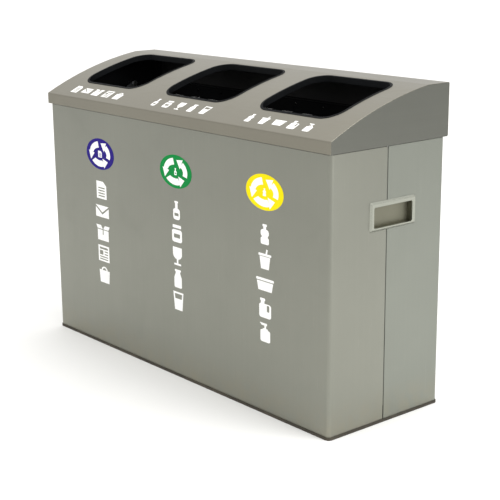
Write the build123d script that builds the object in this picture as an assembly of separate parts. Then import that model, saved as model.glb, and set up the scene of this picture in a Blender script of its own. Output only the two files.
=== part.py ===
from build123d import *
import os
from math import asin, cos, degrees, hypot, radians, sin, sqrt

# Recycling bin station for three streams: a sheet steel cabinet with a hinged curved lid.
# +X runs along the length, -Y is the front, +Z is up, and the origin is on the floor under
# the middle of the cabinet. All values are in millimetres.

# ---------------------------------------------------------------- driving dimensions
LENGTH = 1100.0            # over the lid
DEPTH = 360.0              # over the lid
HEIGHT = 750.0             # floor to the flat top of the lid
LID_HEIGHT = 150.0         # lid part, from its locating tongue to its top
LID_OVERHANG = 5.0         # how far the lid stands out over the body on each side
SHEET = 1.2                # stainless sheet thickness
BODY_CORNER = 9.0          # outer radius of the body's vertical bends
BODY_TOP = 628.0           # top edge of the front shell
REAR_TOP = 622.0           # top edge of the rear wall, below the hinge
SEAM_Y = -6.0              # the side seam between the two shells
SEAM_GAP = 3.0

LID_SKIRT = 630.0          # lower edge of the lid skirt
LIP_TOP = 657.5            # top of the lid's vertical front lip
FLAT_TOP_DEPTH = 68.0      # flat strip along the rear of the lid
LID_CURVE = 935.0          # radius of the lid's curved top
LIP_BEND = 4.0             # outer radii of the bends in the lid's outline
CREST_BEND = 30.0
REAR_BEND = 3.0

STREAMS = ("paper", "glass", "plastic")
PITCH = 355.0              # between the openings, and between the buckets
OPENING_LENGTH = 259.0
OPENING_FRONT = -115.0
OPENING_REAR = 96.0
OPENING_CORNER = 45.0
TRIM_LIP = 3.0             # how far the edging covers the lid around an opening

STICKER_PITCH = 325.0
STICKER_SHIFT = 12.0       # the sticker row sits a little right of the middle
STICKER_Z = 520.0
STICKER_LENGTH = 126.0     # the stickers are ovals
STICKER_HEIGHT = 81.0
STICKER_FILM = 0.3
PRINT_FILM = 0.2
FRONT_ICON = 46.0          # pictograms in a column under each sticker
FRONT_ICON_PITCH = 57.0
FRONT_ICON_TOP = 425.0
LID_ICON = 28.0            # pictograms in a row in front of each opening
LID_ICON_PITCH = 48.0
LID_ICON_Y = -148.0
ICON_STRETCH = 1.3         # the pictograms are wider than drawn, to read well from the side

HANDLE_Y = 11.5
HANDLE_Z = 479.5
HANDLE_LENGTH = 143.0
HANDLE_HEIGHT = 66.0
HANDLE_PROUD = 5.0         # the frame's outer sides slope back to the wall
HANDLE_SLOPE = 45.0
HANDLE_CORNER = 6.0
HANDLE_EDGE = 0.8          # rounding of the frame's front edges
POCKET_DEPTH = 12.0
GRIP_LENGTH = 119.0        # opening in the handle frame
GRIP_HEIGHT = 46.0
GRIP_CORNER = 4.0
GRIP_SHIFT_Y = -1.5        # the opening sits a little forward and low in the frame
GRIP_SHIFT_Z = -2.0
GRIP_HOOK = 8.0            # how far the pocket reaches up behind the frame's top bar

HINGE_Y = 177.0            # lid hinge axis
HINGE_Z = 628.0
HINGE_LENGTH = 1064.0
KNUCKLE_RADIUS = 3.0
HINGE_PIN_RADIUS = 1.5
RUNNING_GAP = 0.05         # radial clearance of turning pins

STAY_LID_Y = 90.0          # stay pivot on the lid, with the lid closed
STAY_LID_Z = 662.0
STAY_PIN_Y = -130.0        # sliding pin of the stay, with the lid closed
STAY_PIN_Z = 535.0
LID_OPEN_ANGLE = 95.0
STAY_X = 528.0             # inner face of the stay arm
STAY_ARM = 2.5             # arm thickness
STAY_PIN_RADIUS = 3.0

BUCKET_LENGTH = 330.0      # over the rim
BUCKET_DEPTH = 310.0
BUCKET_TOP = 535.0
BUCKET_WALL = 2.5
BAIL_WIRE = 3.0            # wire radius
BAIL_REACH = 148.0
BAIL_BEND = 6.0            # bend radius on the wire's centre line
BAIL_PIVOT_Z = BUCKET_TOP + 9.0

STRIP_HEIGHT = 7.0
STRIP_PROUD = 2.0
TRAY_SHEET = 1.5
TRAY_TOP = 12.0
TRAY_FLANGE = 25.0

BODY_LENGTH = LENGTH - 2 * LID_OVERHANG
BODY_DEPTH = DEPTH - 2 * LID_OVERHANG
BODY_X = BODY_LENGTH / 2
BODY_Y = BODY_DEPTH / 2
STREAM_X = {name: (index - 1) * PITCH for index, name in enumerate(STREAMS)}
STICKER_X = {name: (index - 1) * STICKER_PITCH + STICKER_SHIFT for index, name in enumerate(STREAMS)}
POCKET_LOW = HANDLE_Z + GRIP_SHIFT_Z - GRIP_HEIGHT / 2 - SHEET
POCKET_HIGH = HANDLE_Z + GRIP_SHIFT_Z + GRIP_HEIGHT / 2 + GRIP_HOOK
SIDES = {"left": -1, "right": 1}


# ---------------------------------------------------------------- small helpers
def block(x0, x1, y0, y1, z0, z1):
    """A box between two corners; the two x values may come in either order."""
    centre = Pos((x0 + x1) / 2, (y0 + y1) / 2, (z0 + z1) / 2)
    return centre * Box(abs(x1 - x0), y1 - y0, z1 - z0)


def rod_x(x0, x1, y, z, radius):
    """A round rod along X between two x values."""
    return Pos((x0 + x1) / 2, y, z) * Rot(0, 90, 0) * Cylinder(radius, abs(x1 - x0))


def rod_y(x, y0, y1, z, radius):
    return Pos(x, (y0 + y1) / 2, z) * Rot(90, 0, 0) * Cylinder(radius, y1 - y0)


def rod_z(x, y, z0, z1, radius):
    return Pos(x, y, (z0 + z1) / 2) * Cylinder(radius, z1 - z0)


def plan_prism(length, depth, corner, z0, z1):
    """A prism with a rounded rectangular plan, centred on the cabinet."""
    return Pos(0, 0, z0) * extrude(RectangleRounded(length, depth, corner), amount=z1 - z0)


THROUGH = 5.0              # how far a cutting tool stands out on each side of what it cuts


def group(solids):
    return Compound(children=list(solids))


def write(name, shape):
    shape.label = name
    export_step(shape, f"parts/{name}.step")


# ---------------------------------------------------------------- body
def handle_hole(side, margin):
    """The space of the handle pocket in a side wall, grown by a margin. It reaches up behind the
    deep top bar of the frame, so that the fingers can hook in."""
    middle = HANDLE_Y + GRIP_SHIFT_Y
    reach = GRIP_LENGTH / 2 + SHEET + margin
    inner = side * (BODY_X - 2 * POCKET_DEPTH)
    outer = side * (BODY_X + POCKET_DEPTH)
    return block(inner, outer, middle - reach, middle + reach, POCKET_LOW - margin, POCKET_HIGH + margin)


def body_wall(low, high):
    """The closed rectangular wall of the body between two heights."""
    outer = plan_prism(BODY_LENGTH, BODY_DEPTH, BODY_CORNER, low, high)
    inner_corner = BODY_CORNER - SHEET
    return outer - plan_prism(BODY_LENGTH - 2 * SHEET, BODY_DEPTH - 2 * SHEET, inner_corner, low, high)


SHELL_BOTTOM = 3.0
FLANGE_END = BODY_X - 12.0
FRONT_FLANGE_DEPTH = 12.0
REAR_FLANGE_DEPTH = 14.0
HOLE_MARGIN = 0.5          # between a handle pocket and the hole it sits in
BUFFER_X = (-480.0, -177.5, 177.5, 480.0)
BUFFER_Y = -169.0
BUFFER_STEM = 1.6
BODY_RIVET_Z = 608.0
LID_RIVET_Z = 652.0
HINGE_RIVET_X = [-450.0 + 100.0 * step for step in range(10)]
HINGE_RIVET_RADIUS = 2.0


def front_shell():
    wall = body_wall(SHELL_BOTTOM, BODY_TOP)
    wall &= block(-LENGTH, LENGTH, -DEPTH, SEAM_Y - SEAM_GAP / 2, 0, HEIGHT)
    inner_y = -BODY_Y + SHEET
    wall += block(-FLANGE_END, FLANGE_END, inner_y, -BODY_Y + FRONT_FLANGE_DEPTH, BODY_TOP - SHEET, BODY_TOP)
    for side in SIDES.values():
        wall -= handle_hole(side, HOLE_MARGIN)
    for x in BUFFER_X:
        wall -= rod_z(x, BUFFER_Y, BODY_TOP - THROUGH, BODY_TOP + THROUGH, BUFFER_STEM)
    return wall


def rear_shell():
    wall = body_wall(SHELL_BOTTOM, BODY_TOP)
    wall &= block(-LENGTH, LENGTH, SEAM_Y + SEAM_GAP / 2, DEPTH, 0, HEIGHT)
    wall -= block(-FLANGE_END, FLANGE_END, BODY_Y - THROUGH, BODY_Y + THROUGH, REAR_TOP, HEIGHT)
    flange_y = BODY_Y - REAR_FLANGE_DEPTH
    wall += block(-FLANGE_END, FLANGE_END, flange_y, BODY_Y - SHEET, REAR_TOP - SHEET, REAR_TOP)
    for side in SIDES.values():
        wall -= handle_hole(side, HOLE_MARGIN)
    for x in HINGE_RIVET_X:
        wall -= rod_y(x, BODY_Y - THROUGH, BODY_Y + THROUGH, BODY_RIVET_Z, HINGE_RIVET_RADIUS)
    return wall


STRIP_LOW = TRAY_TOP + TRAY_FLANGE + 2.0
STRIP_HIGH = BODY_TOP - 3.0
STRIP_END_GAP = 3.0        # between the strips and the handle pocket
STRIP_HALF_WIDTH = 17.0


def seam_strip(side, low, high):
    """Backing strip spot-welded behind a side seam, above or below the handle pocket."""
    outer = side * (BODY_X - SHEET)
    front = SEAM_Y - STRIP_HALF_WIDTH
    rear = SEAM_Y + STRIP_HALF_WIDTH
    return block(outer, outer - side * SHEET, front, rear, low, high)


def handle_frame(side):
    """Raised frame around the recessed grip; its deep top bar is what the fingers hook behind."""
    plane = Plane(origin=(side * BODY_X, HANDLE_Y, HANDLE_Z), x_dir=(0, side, 0), z_dir=(side, 0, 0))
    outline = RectangleRounded(HANDLE_LENGTH, HANDLE_HEIGHT, HANDLE_CORNER)
    opening = RectangleRounded(GRIP_LENGTH, GRIP_HEIGHT, GRIP_CORNER)
    opening = Pos(side * GRIP_SHIFT_Y, GRIP_SHIFT_Z) * opening
    frame = extrude(plane * outline, amount=HANDLE_PROUD, taper=HANDLE_SLOPE)
    frame -= extrude(plane * opening, amount=HANDLE_PROUD)
    front_edges = frame.faces().sort_by(Axis.X)[-1 if side > 0 else 0].edges()
    return fillet(front_edges, HANDLE_EDGE)


def handle_pocket(side):
    """Pressed pocket behind the frame, open towards the outside."""
    inner_x = side * (BODY_X - POCKET_DEPTH)
    pocket = handle_hole(side, 0) & block(inner_x, side * BODY_X, -DEPTH, DEPTH, 0, HEIGHT)
    return pocket - handle_pocket_space(side)


def handle_pocket_space(side):
    """The hollow of the pocket, which leaves a floor and four walls of sheet thickness."""
    floor_x = side * (BODY_X - POCKET_DEPTH + SHEET)
    return handle_hole(side, -SHEET) & block(floor_x, side * LENGTH, -DEPTH, DEPTH, 0, HEIGHT)


# ---------------------------------------------------------------- base
FEET = [(x, y) for x in (-480.0, 0.0, 480.0) for y in (-120.0, 120.0)]
FOOT_RADIUS = 18.0
FOOT_CHAMFER = 1.5
FOOT_RECESS_RADIUS = 6.0   # the recess for the screw head
FOOT_RECESS = 5.0
FOOT_SCREW = 2.5           # shank radius
SCREW_GAP = 0.1
SCREW_HEAD_RADIUS = 5.0
SCREW_HEAD_LOW = 2.0
DRIVE_RADIUS = 1.5         # the drive socket in the screw head
DRIVE_TOP = 3.5
STRIP_INNER = 2.4          # thickness of the edge strip behind the shells


def base_edge_strip():
    """Rubber strip pushed onto the lower edge of the two shells."""
    length = BODY_LENGTH + 2 * STRIP_PROUD
    depth = BODY_DEPTH + 2 * STRIP_PROUD
    outer = plan_prism(length, depth, BODY_CORNER + STRIP_PROUD, 0, STRIP_HEIGHT)
    inset = SHEET + STRIP_INNER
    inner = plan_prism(BODY_LENGTH - 2 * inset, BODY_DEPTH - 2 * inset, BODY_CORNER - inset, 0, STRIP_HEIGHT)
    return outer - inner - body_wall(SHELL_BOTTOM, STRIP_HEIGHT)


def base_tray():
    length = BODY_LENGTH - 2 * SHEET
    depth = BODY_DEPTH - 2 * SHEET
    corner = BODY_CORNER - SHEET
    flange_top = TRAY_TOP + TRAY_FLANGE
    tray = plan_prism(length, depth, corner, TRAY_TOP - TRAY_SHEET, flange_top)
    tray -= plan_prism(
        length - 2 * TRAY_SHEET, depth - 2 * TRAY_SHEET, corner - TRAY_SHEET, TRAY_TOP, flange_top
    )
    for x, y in FEET:
        tray -= rod_z(x, y, 0, TRAY_TOP + THROUGH, FOOT_SCREW)
    return tray


def feet():
    top = TRAY_TOP - TRAY_SHEET
    solids = []
    for x, y in FEET:
        foot = rod_z(x, y, 0, top, FOOT_RADIUS)
        foot = chamfer(foot.edges().filter_by(GeomType.CIRCLE).sort_by(Axis.Z)[0], FOOT_CHAMFER)
        foot -= rod_z(x, y, 0, top, FOOT_SCREW + SCREW_GAP)
        foot -= rod_z(x, y, 0, FOOT_RECESS, FOOT_RECESS_RADIUS)
        solids.append(foot)
    return group(solids)


def foot_screws():
    solids = []
    for x, y in FEET:
        head = rod_z(x, y, SCREW_HEAD_LOW, FOOT_RECESS, SCREW_HEAD_RADIUS)
        head -= rod_z(x, y, 0, DRIVE_TOP, DRIVE_RADIUS)
        solids.append(head + rod_z(x, y, FOOT_RECESS, TRAY_TOP, FOOT_SCREW))
    return group(solids)


DIVIDER_TOP = 500.0
DIVIDER_FLANGE = 14.0
DIVIDER_FOOT_INSET = 8.0   # the foot flange ends short of the front and rear walls
FLANGE_GAP = 1.0


def divider(side):
    """Partition between two buckets, folded at the front, rear and bottom. It is notched to clear
    the flange of the tray."""
    x = side * PITCH / 2
    edge = x - side * DIVIDER_FLANGE
    reach = BODY_Y - SHEET
    flange_top = TRAY_TOP + TRAY_FLANGE
    foot_reach = reach - DIVIDER_FOOT_INSET
    low_end = flange_top + FLANGE_GAP
    sheet = block(x, x - side * SHEET, -reach, reach, TRAY_TOP, DIVIDER_TOP)
    sheet += block(x, edge, -reach, -reach + SHEET, low_end, DIVIDER_TOP)
    sheet += block(x, edge, reach - SHEET, reach, low_end, DIVIDER_TOP)
    sheet += block(x, edge, -foot_reach, foot_reach, TRAY_TOP, TRAY_TOP + SHEET)
    for low, high in ((-reach, -reach + TRAY_SHEET), (reach - TRAY_SHEET, reach)):
        sheet -= block(x - DIVIDER_FLANGE, x + DIVIDER_FLANGE, low, high, TRAY_TOP, flange_top)
    return sheet


# ---------------------------------------------------------------- lid
def lid_profile():
    """Side outline of the lid in the YZ plane: front lip, curved top, flat strip, rear wall."""
    front = -DEPTH / 2
    rear = DEPTH / 2
    curve_end = rear - FLAT_TOP_DEPTH
    chord_y = curve_end - front
    chord_z = HEIGHT - LIP_TOP
    chord = hypot(chord_y, chord_z)
    crown = LID_CURVE - sqrt(LID_CURVE**2 - (chord / 2) ** 2)
    crown_point = (
        (front + curve_end) / 2 - crown * chord_z / chord,
        (LIP_TOP + HEIGHT) / 2 + crown * chord_y / chord,
    )
    edges = [
        Line((front, LID_SKIRT), (front, LIP_TOP)),
        ThreePointArc((front, LIP_TOP), crown_point, (curve_end, HEIGHT)),
        Line((curve_end, HEIGHT), (rear, HEIGHT)),
        Line((rear, HEIGHT), (rear, LID_SKIRT)),
        Line((rear, LID_SKIRT), (front, LID_SKIRT)),
    ]
    face = make_face(edges)
    face = fillet(face.vertices().sort_by_distance((front, LIP_TOP))[0], LIP_BEND)
    face = fillet(face.vertices().sort_by_distance((curve_end, HEIGHT))[0], CREST_BEND)
    return fillet(face.vertices().sort_by_distance((rear, HEIGHT))[0], REAR_BEND)


PROFILE = lid_profile()


def lid_volume(inset, x0, x1):
    """The volume under the lid's outline moved in (or, if negative, out) between two x values."""
    face = PROFILE if inset == 0 else offset(PROFILE, amount=-inset, kind=Kind.INTERSECTION)
    return Pos(x0, 0, 0) * extrude(Plane.YZ * face, amount=x1 - x0)


SKIRT_BAND = 20.0          # lowest part of the lid, where its walls are upright


def lid_film(top, bottom, x0, x1):
    """The layer of the lid's cross-section between two insets, open at the bottom."""
    low = LID_SKIRT - SKIRT_BAND
    high = LID_SKIRT + SKIRT_BAND
    below = block(x0, x1, -DEPTH / 2 + bottom, DEPTH / 2 - bottom, low, high)
    return lid_volume(top, x0, x1) - lid_volume(bottom, x0, x1) - below


def opening_prism(stream, margin):
    """Vertical prism through an opening, grown by a margin on all sides."""
    depth = OPENING_REAR - OPENING_FRONT
    outline = RectangleRounded(OPENING_LENGTH + 2 * margin, depth + 2 * margin, OPENING_CORNER + margin)
    middle_y = (OPENING_REAR + OPENING_FRONT) / 2
    prism = extrude(outline, amount=HEIGHT - LID_SKIRT + 2 * SKIRT_BAND)
    return Pos(STREAM_X[stream], middle_y, LID_SKIRT - SKIRT_BAND) * prism


LIP_HEM = 14.0
REAR_EDGE = 632.0          # lower edge of the lid's rear wall
LID_INNER_REACH = 515.0    # half length of the pieces inside the lid
END_HEM = 8.0              # width of the hem of an end panel
END_HEM_FRONT = 20.0       # the hem's distance from the front and from the rear
END_HEM_REAR = 14.0


def lid_top_sheet():
    half = LENGTH / 2
    sheet = lid_film(0, SHEET, -half, half)
    sheet -= block(-LENGTH, LENGTH, DEPTH / 2 - THROUGH, DEPTH, 0, REAR_EDGE)
    hem_y = -DEPTH / 2
    sheet += block(-half + SHEET, half - SHEET, hem_y + SHEET, hem_y + LIP_HEM, LID_SKIRT, LID_SKIRT + SHEET)
    for stream in STREAMS:
        sheet -= opening_prism(stream, -TRIM_LIP)
    for x in HINGE_RIVET_X:
        sheet -= rod_y(x, DEPTH / 2 - THROUGH, DEPTH, LID_RIVET_Z, HINGE_RIVET_RADIUS)
    return sheet


def lid_end(side):
    """Flat end panel under the top sheet, with a hem along its lower edge."""
    outer = side * LENGTH / 2
    inner = outer - side * SHEET
    x0 = min(outer, inner)
    reach = DEPTH / 2 - SHEET
    panel = lid_volume(SHEET, x0, x0 + SHEET)
    panel += block(inner, outer, -reach, reach, LID_SKIRT, LID_SKIRT + SKIRT_BAND)
    hem_x = inner - side * END_HEM
    hem_front = -reach + END_HEM_FRONT
    hem_rear = reach - END_HEM_REAR
    return panel + block(inner, hem_x, hem_front, hem_rear, LID_SKIRT, LID_SKIRT + SHEET)


def lid_front_stiffener():
    """Angle behind the lip; its long leg drops behind the body's front edge and locates the lid."""
    half = LID_INNER_REACH
    front = -DEPTH / 2 + SHEET
    shelf = LID_SKIRT + SHEET
    bottom = HEIGHT - LID_HEIGHT
    angle = block(-half, half, front, LEG_FRONT + SHEET, shelf, shelf + SHEET)
    return angle + block(-half, half, LEG_FRONT, LEG_FRONT + SHEET, bottom, shelf)


LINING = 2.0
LINING_FRONT = -150.0
LINING_LOW = LID_SKIRT + 40.0
LINING_GAP = 2.0           # between the lining and the edging of an opening
TRIM_PROUD = 1.0           # the edging stands out from the lid
TRIM_LEG = 2.0             # its thickness under the lid
TRIM_COLLAR = 12.0         # depth of its collar
TRIM_COLLAR_WALL = 2.5
LEG_FRONT = -160.0         # front face of the lid's locating leg


def lid_lining():
    """Black anti-drumming mat bonded under the curved top and behind the rear wall."""
    half = LID_INNER_REACH
    mat = lid_film(SHEET, SHEET + LINING, -half, half)
    mat &= block(-half, half, LINING_FRONT, DEPTH / 2, LINING_LOW, HEIGHT)
    for stream in STREAMS:
        mat -= opening_prism(stream, TRIM_LIP + LINING_GAP)
    return mat


def opening_trim(stream):
    """Rubber edging clipped over the cut edge of an opening, with a deeper collar inside."""
    x0 = STREAM_X[stream] - OPENING_LENGTH
    x1 = STREAM_X[stream] + OPENING_LENGTH
    clip = lid_film(-TRIM_PROUD, SHEET + TRIM_LEG, x0, x1) & opening_prism(stream, 0)
    collar = lid_film(-TRIM_PROUD, SHEET + TRIM_COLLAR, x0, x1) & opening_prism(stream, -TRIM_LIP)
    sheet = lid_film(0, SHEET, x0, x1) - opening_prism(stream, -TRIM_LIP)
    return (clip + collar) - opening_prism(stream, -TRIM_LIP - TRIM_COLLAR_WALL) - sheet


# ---------------------------------------------------------------- hinge
LEAF = 1.2
KNUCKLES = 28
KNUCKLE_GAP = 0.5          # between neighbouring knuckles
KNUCKLE_RELIEF = 0.3       # radial gap between a knuckle and the other leaf
BODY_LEAF_LOW = BODY_RIVET_Z - 16.0
LID_LEAF_HIGH = LID_RIVET_Z + 14.0
LEAF_OFFSET = 2.0          # vertical distance of each leaf's edge from the hinge axis
RIVET_HEAD = 1.2
RIVET_HEAD_RADIUS = 3.6
RIVET_ROUNDING = 0.9
RIVET_TAIL = 1.5
RIVET_TAIL_RADIUS = 3.2
BUFFER_RADIUS = 4.0
BUFFER_BUTTON = 2.0        # height of the knob that holds a buffer in its hole
BUFFER_BUTTON_RADIUS = 2.6


def knuckles(first):
    """Every second knuckle of the piano hinge, starting with the given one."""
    pitch = HINGE_LENGTH / KNUCKLES
    solids = []
    for index in range(first, KNUCKLES, 2):
        x0 = -HINGE_LENGTH / 2 + index * pitch + KNUCKLE_GAP / 2
        x1 = x0 + pitch - KNUCKLE_GAP
        tube = rod_x(x0, x1, HINGE_Y, HINGE_Z, KNUCKLE_RADIUS)
        solids.append((x0, x1, tube))
    return solids


def hinge_leaf(first, y0, y1, z0, z1, rivet_z):
    """One leaf of the hinge: a long plate cut back around the axis, with its own knuckles."""
    half = HINGE_LENGTH / 2
    plate = block(-half, half, y0, y1, z0, z1)
    leaf = plate - rod_x(-half, half, HINGE_Y, HINGE_Z, KNUCKLE_RADIUS + KNUCKLE_RELIEF)
    for x0, x1, tube in knuckles(first):
        leaf += (plate & block(x0, x1, y0, y1, z0, z1)) + tube
    leaf -= rod_x(-half, half, HINGE_Y, HINGE_Z, HINGE_PIN_RADIUS + RUNNING_GAP)
    for x in HINGE_RIVET_X:
        leaf -= rod_y(x, y0 - THROUGH, y1 + THROUGH, rivet_z, HINGE_RIVET_RADIUS)
    return leaf


def body_hinge_leaf():
    top = HINGE_Z - LEAF_OFFSET
    return hinge_leaf(0, BODY_Y, BODY_Y + LEAF, BODY_LEAF_LOW, top, BODY_RIVET_Z)


def lid_hinge_leaf():
    rear = DEPTH / 2 - SHEET
    return hinge_leaf(1, rear - LEAF, rear, HINGE_Z + LEAF_OFFSET, LID_LEAF_HIGH, LID_RIVET_Z)


def hinge_pin():
    half = HINGE_LENGTH / 2
    return rod_x(-half, half, HINGE_Y, HINGE_Z, HINGE_PIN_RADIUS)


def body_hinge_rivets():
    solids = []
    for x in HINGE_RIVET_X:
        shank = rod_y(x, BODY_Y - SHEET, BODY_Y + LEAF, BODY_RIVET_Z, HINGE_RIVET_RADIUS)
        head = rod_y(x, BODY_Y + LEAF, BODY_Y + LEAF + RIVET_HEAD, BODY_RIVET_Z, RIVET_HEAD_RADIUS)
        head = fillet(head.edges().sort_by(Axis.Y)[-1], RIVET_ROUNDING)
        inner = BODY_Y - SHEET
        tail = rod_y(x, inner - RIVET_TAIL, inner, BODY_RIVET_Z, RIVET_TAIL_RADIUS)
        solids.append(head + shank + tail)
    return group(solids)


def lid_hinge_rivets():
    """Rivets set flush with the outside of the lid's rear wall."""
    rear = DEPTH / 2
    inner = rear - SHEET - LEAF
    solids = []
    for x in HINGE_RIVET_X:
        shank = rod_y(x, inner, rear, LID_RIVET_Z, HINGE_RIVET_RADIUS)
        head = rod_y(x, inner - RIVET_HEAD, inner, LID_RIVET_Z, RIVET_HEAD_RADIUS)
        solids.append(fillet(head.edges().sort_by(Axis.Y)[0], RIVET_ROUNDING) + shank)
    return group(solids)


def lid_buffers():
    """Rubber buffers on the front flange, which the lid's hem rests on."""
    solids = []
    for x in BUFFER_X:
        under = BODY_TOP - SHEET
        pad = rod_z(x, BUFFER_Y, BODY_TOP, LID_SKIRT, BUFFER_RADIUS)
        stem = rod_z(x, BUFFER_Y, under, BODY_TOP, BUFFER_STEM)
        button = rod_z(x, BUFFER_Y, under - BUFFER_BUTTON, under, BUFFER_BUTTON_RADIUS)
        solids.append(pad + stem + button)
    return group(solids)


# ---------------------------------------------------------------- lid stays
# The arm keeps its own direction while the lid turns, so its lower pin runs on a circular arc
# with the same radius as the arm's pivot has about the lid hinge. The guide slot is that arc.
STAY_CENTRE_Y = HINGE_Y + STAY_PIN_Y - STAY_LID_Y
STAY_CENTRE_Z = HINGE_Z + STAY_PIN_Z - STAY_LID_Z
STAY_ARC_RADIUS = hypot(STAY_LID_Y - HINGE_Y, STAY_LID_Z - HINGE_Z)
GUIDE_X = STAY_X + STAY_ARM + 0.5
GUIDE_SHEET = 2.0
GUIDE_MARGIN = 14.0
GUIDE_BELOW = 15.0         # the guide's reach below the pin and above the arc
GUIDE_ABOVE = 12.0
GUIDE_RIVET = 1.6          # radius
GUIDE_RIVET_HEAD = 1.2
GUIDE_RIVET_HEAD_RADIUS = 3.0
GUIDE_RIVET_OUT = 7.0      # from the guide's web to its rivets
GUIDE_RIVET_PITCH = 50.0
SLOT_GAP = 0.3
SLOT_SPARE_ANGLE = 1.0     # the slot is a little longer than the pin's travel
ARM_WIDTH = 16.0
STUD_RADIUS = 4.0
STUD_SHOULDER_RADIUS = 7.0
STUD_HEAD = 2.0
STUD_GAP = 0.2             # side play of the arm on its stud
PIN_HEAD = 2.2
PIN_HEAD_GAP = 0.3
PIN_HEAD_RADIUS = 6.0
PIN_TAIL = 1.5             # riveted end of the pin on the inside of the arm
PIN_TAIL_RADIUS = 5.0


def stay_pin_place(angle):
    """Where the sliding pin is when the lid is open by an angle in degrees."""
    start = STAY_PIN_Y - STAY_CENTRE_Y
    rise = STAY_PIN_Z - STAY_CENTRE_Z
    turn = radians(angle)
    y = STAY_CENTRE_Y + start * cos(turn) + rise * sin(turn)
    z = STAY_CENTRE_Z - start * sin(turn) + rise * cos(turn)
    return y, z


def stay_slot(half_width, spare_angle, x0, x1):
    """The path of the sliding pin, swept to a slot through the guide plate."""
    ends = [stay_pin_place(-spare_angle), stay_pin_place(LID_OPEN_ANGLE + spare_angle)]
    outer = Circle(STAY_ARC_RADIUS + half_width)
    ring = outer - Circle(STAY_ARC_RADIUS - half_width)
    centre = (STAY_CENTRE_Y, STAY_CENTRE_Z)
    far = 3 * STAY_ARC_RADIUS
    rays = []
    for y, z in ends:
        dy = (y - centre[0]) / STAY_ARC_RADIUS
        dz = (z - centre[1]) / STAY_ARC_RADIUS
        rays.append((dy * far, dz * far))
    middle = ((rays[0][0] + rays[1][0]) / 2, abs(rays[0][1]) + abs(rays[1][1]))
    wedge = Polygon((0, 0), rays[0], middle, rays[1], align=None)
    slot = Pos(*centre) * (ring & wedge)
    for y, z in ends:
        slot += Pos(y, z) * Circle(half_width)
    return Pos(x0, 0, 0) * extrude(Plane.YZ * slot, amount=x1 - x0)


def guide_rivet_places():
    y_first = stay_pin_place(0)[0] - GUIDE_MARGIN
    y_last = stay_pin_place(LID_OPEN_ANGLE)[0] + GUIDE_MARGIN
    places = []
    for y in (y_first - GUIDE_RIVET_OUT, y_last + GUIDE_RIVET_OUT):
        for z in (STAY_PIN_Z, STAY_PIN_Z + GUIDE_RIVET_PITCH):
            places.append((y, z))
    return places


def stay_guide(side):
    """Channel riveted to the body's side wall; the arc slot is cut in its web."""
    y_first = stay_pin_place(0)[0] - GUIDE_MARGIN
    y_last = stay_pin_place(LID_OPEN_ANGLE)[0] + GUIDE_MARGIN
    low = STAY_PIN_Z - GUIDE_BELOW
    high = STAY_CENTRE_Z + STAY_ARC_RADIUS + GUIDE_ABOVE
    wall = BODY_X - SHEET
    web = block(GUIDE_X, GUIDE_X + GUIDE_SHEET, y_first, y_last, low, high)
    channel = web - stay_slot(STAY_PIN_RADIUS + SLOT_GAP, SLOT_SPARE_ANGLE, STAY_X, wall)
    channel += block(GUIDE_X, wall, y_first - GUIDE_SHEET, y_first, low, high)
    channel += block(GUIDE_X, wall, y_last, y_last + GUIDE_SHEET, low, high)
    channel += block(wall - GUIDE_SHEET, wall, y_first - GUIDE_MARGIN, y_first - GUIDE_SHEET, low, high)
    channel += block(wall - GUIDE_SHEET, wall, y_last + GUIDE_SHEET, y_last + GUIDE_MARGIN, low, high)
    for y, z in guide_rivet_places():
        channel -= rod_x(wall - THROUGH, wall + THROUGH, y, z, GUIDE_RIVET)
    return mirror_to(channel, side)


def mirror_to(shape, side):
    """A shape drawn for the right side (+X), moved to the side asked for."""
    return shape if side > 0 else mirror(shape, about=Plane.YZ)


def stay_guide_rivets():
    wall = BODY_X - SHEET
    solids = []
    for side in SIDES.values():
        for y, z in guide_rivet_places():
            inner = wall - GUIDE_SHEET
            rivet = rod_x(inner, wall, y, z, GUIDE_RIVET)
            rivet += rod_x(inner - GUIDE_RIVET_HEAD, inner, y, z, GUIDE_RIVET_HEAD_RADIUS)
            solids.append(mirror_to(rivet, side))
    return group(solids)


def stay_arm(side):
    """Flat bar with a hole at each end."""
    length = hypot(STAY_PIN_Y - STAY_LID_Y, STAY_PIN_Z - STAY_LID_Z)
    lean = degrees(asin((STAY_LID_Z - STAY_PIN_Z) / length))
    bar = SlotCenterToCenter(length, ARM_WIDTH)
    middle = ((STAY_LID_Y + STAY_PIN_Y) / 2, (STAY_LID_Z + STAY_PIN_Z) / 2)
    outline = Pos(*middle) * Rot(0, 0, lean) * bar
    arm = Pos(STAY_X, 0, 0) * extrude(Plane.YZ * outline, amount=STAY_ARM)
    inner = STAY_X - THROUGH
    outer = STAY_X + THROUGH
    arm -= rod_x(inner, outer, STAY_LID_Y, STAY_LID_Z, STUD_RADIUS + RUNNING_GAP)
    arm -= rod_x(inner, outer, STAY_PIN_Y, STAY_PIN_Z, STAY_PIN_RADIUS)
    return mirror_to(arm, side)


def stay_pin(side):
    """Headed pin riveted in the arm's lower end; it slides in the guide slot."""
    y, z = STAY_PIN_Y, STAY_PIN_Z
    head_x = GUIDE_X + GUIDE_SHEET + PIN_HEAD_GAP
    tail_x = STAY_X - PIN_TAIL
    pin = rod_x(tail_x, head_x, y, z, STAY_PIN_RADIUS)
    pin += rod_x(tail_x, STAY_X, y, z, PIN_TAIL_RADIUS)
    pin += rod_x(head_x, head_x + PIN_HEAD, y, z, PIN_HEAD_RADIUS)
    return mirror_to(pin, side)


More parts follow.
